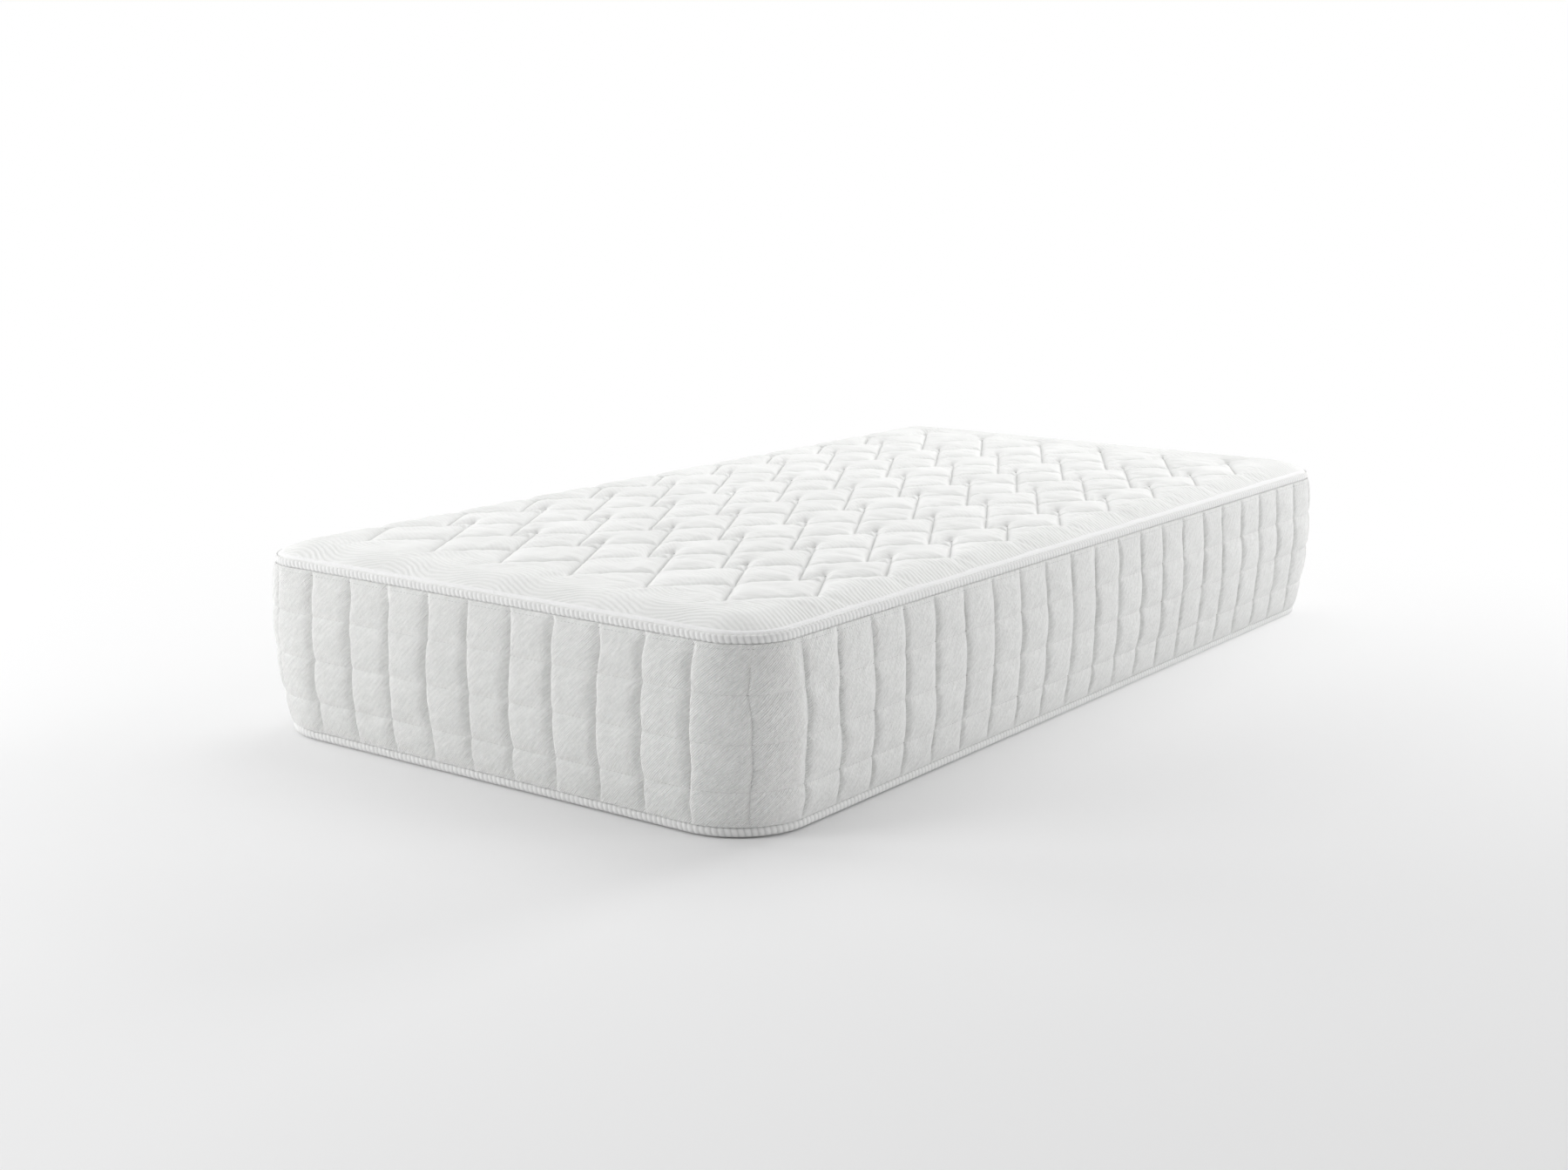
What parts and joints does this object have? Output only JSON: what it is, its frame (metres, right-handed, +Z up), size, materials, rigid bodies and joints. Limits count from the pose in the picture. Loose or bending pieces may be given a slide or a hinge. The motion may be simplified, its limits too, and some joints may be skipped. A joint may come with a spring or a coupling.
{
  "type": "memory foam mattress",
  "caption": "Single-bed foam mattress: memory foam over softer and firmer foam in a quilted cover with a pleated side band and binding tape round both seams.",
  "frame": {"origin": "on the floor, under the middle of the mattress", "axes": "+Z up, +Y along the length towards the head, +X across the width"},
  "size_m": [1, 1.9, 0.3],
  "materials": {
    "top_knit": "matte",
    "band_cloth": "matte",
    "binding_tape": "matte",
    "bottom_cloth": "matte",
    "wadding": "matte",
    "backing_cloth": "matte",
    "quilt_foam": "matte",
    "memory_foam": "matte",
    "transition_foam": "matte",
    "support_foam": "matte"
  },
  "bodies": {
    "root": {"top_ticking": "top_knit", "top_wadding": "wadding", "top_quilt_foam": "quilt_foam", "top_backing": "backing_cloth", "top_binding_tape": "binding_tape", "memory_foam": "memory_foam", "transition_foam": "transition_foam", "support_core": "support_foam", "band_ticking": "band_cloth", "band_wadding": "wadding", "band_backing": "backing_cloth", "bottom_binding_tape": "binding_tape", "bottom_backing": "backing_cloth", "bottom_wadding": "wadding", "bottom_ticking": "bottom_cloth"}
  },
  "joints": []
}
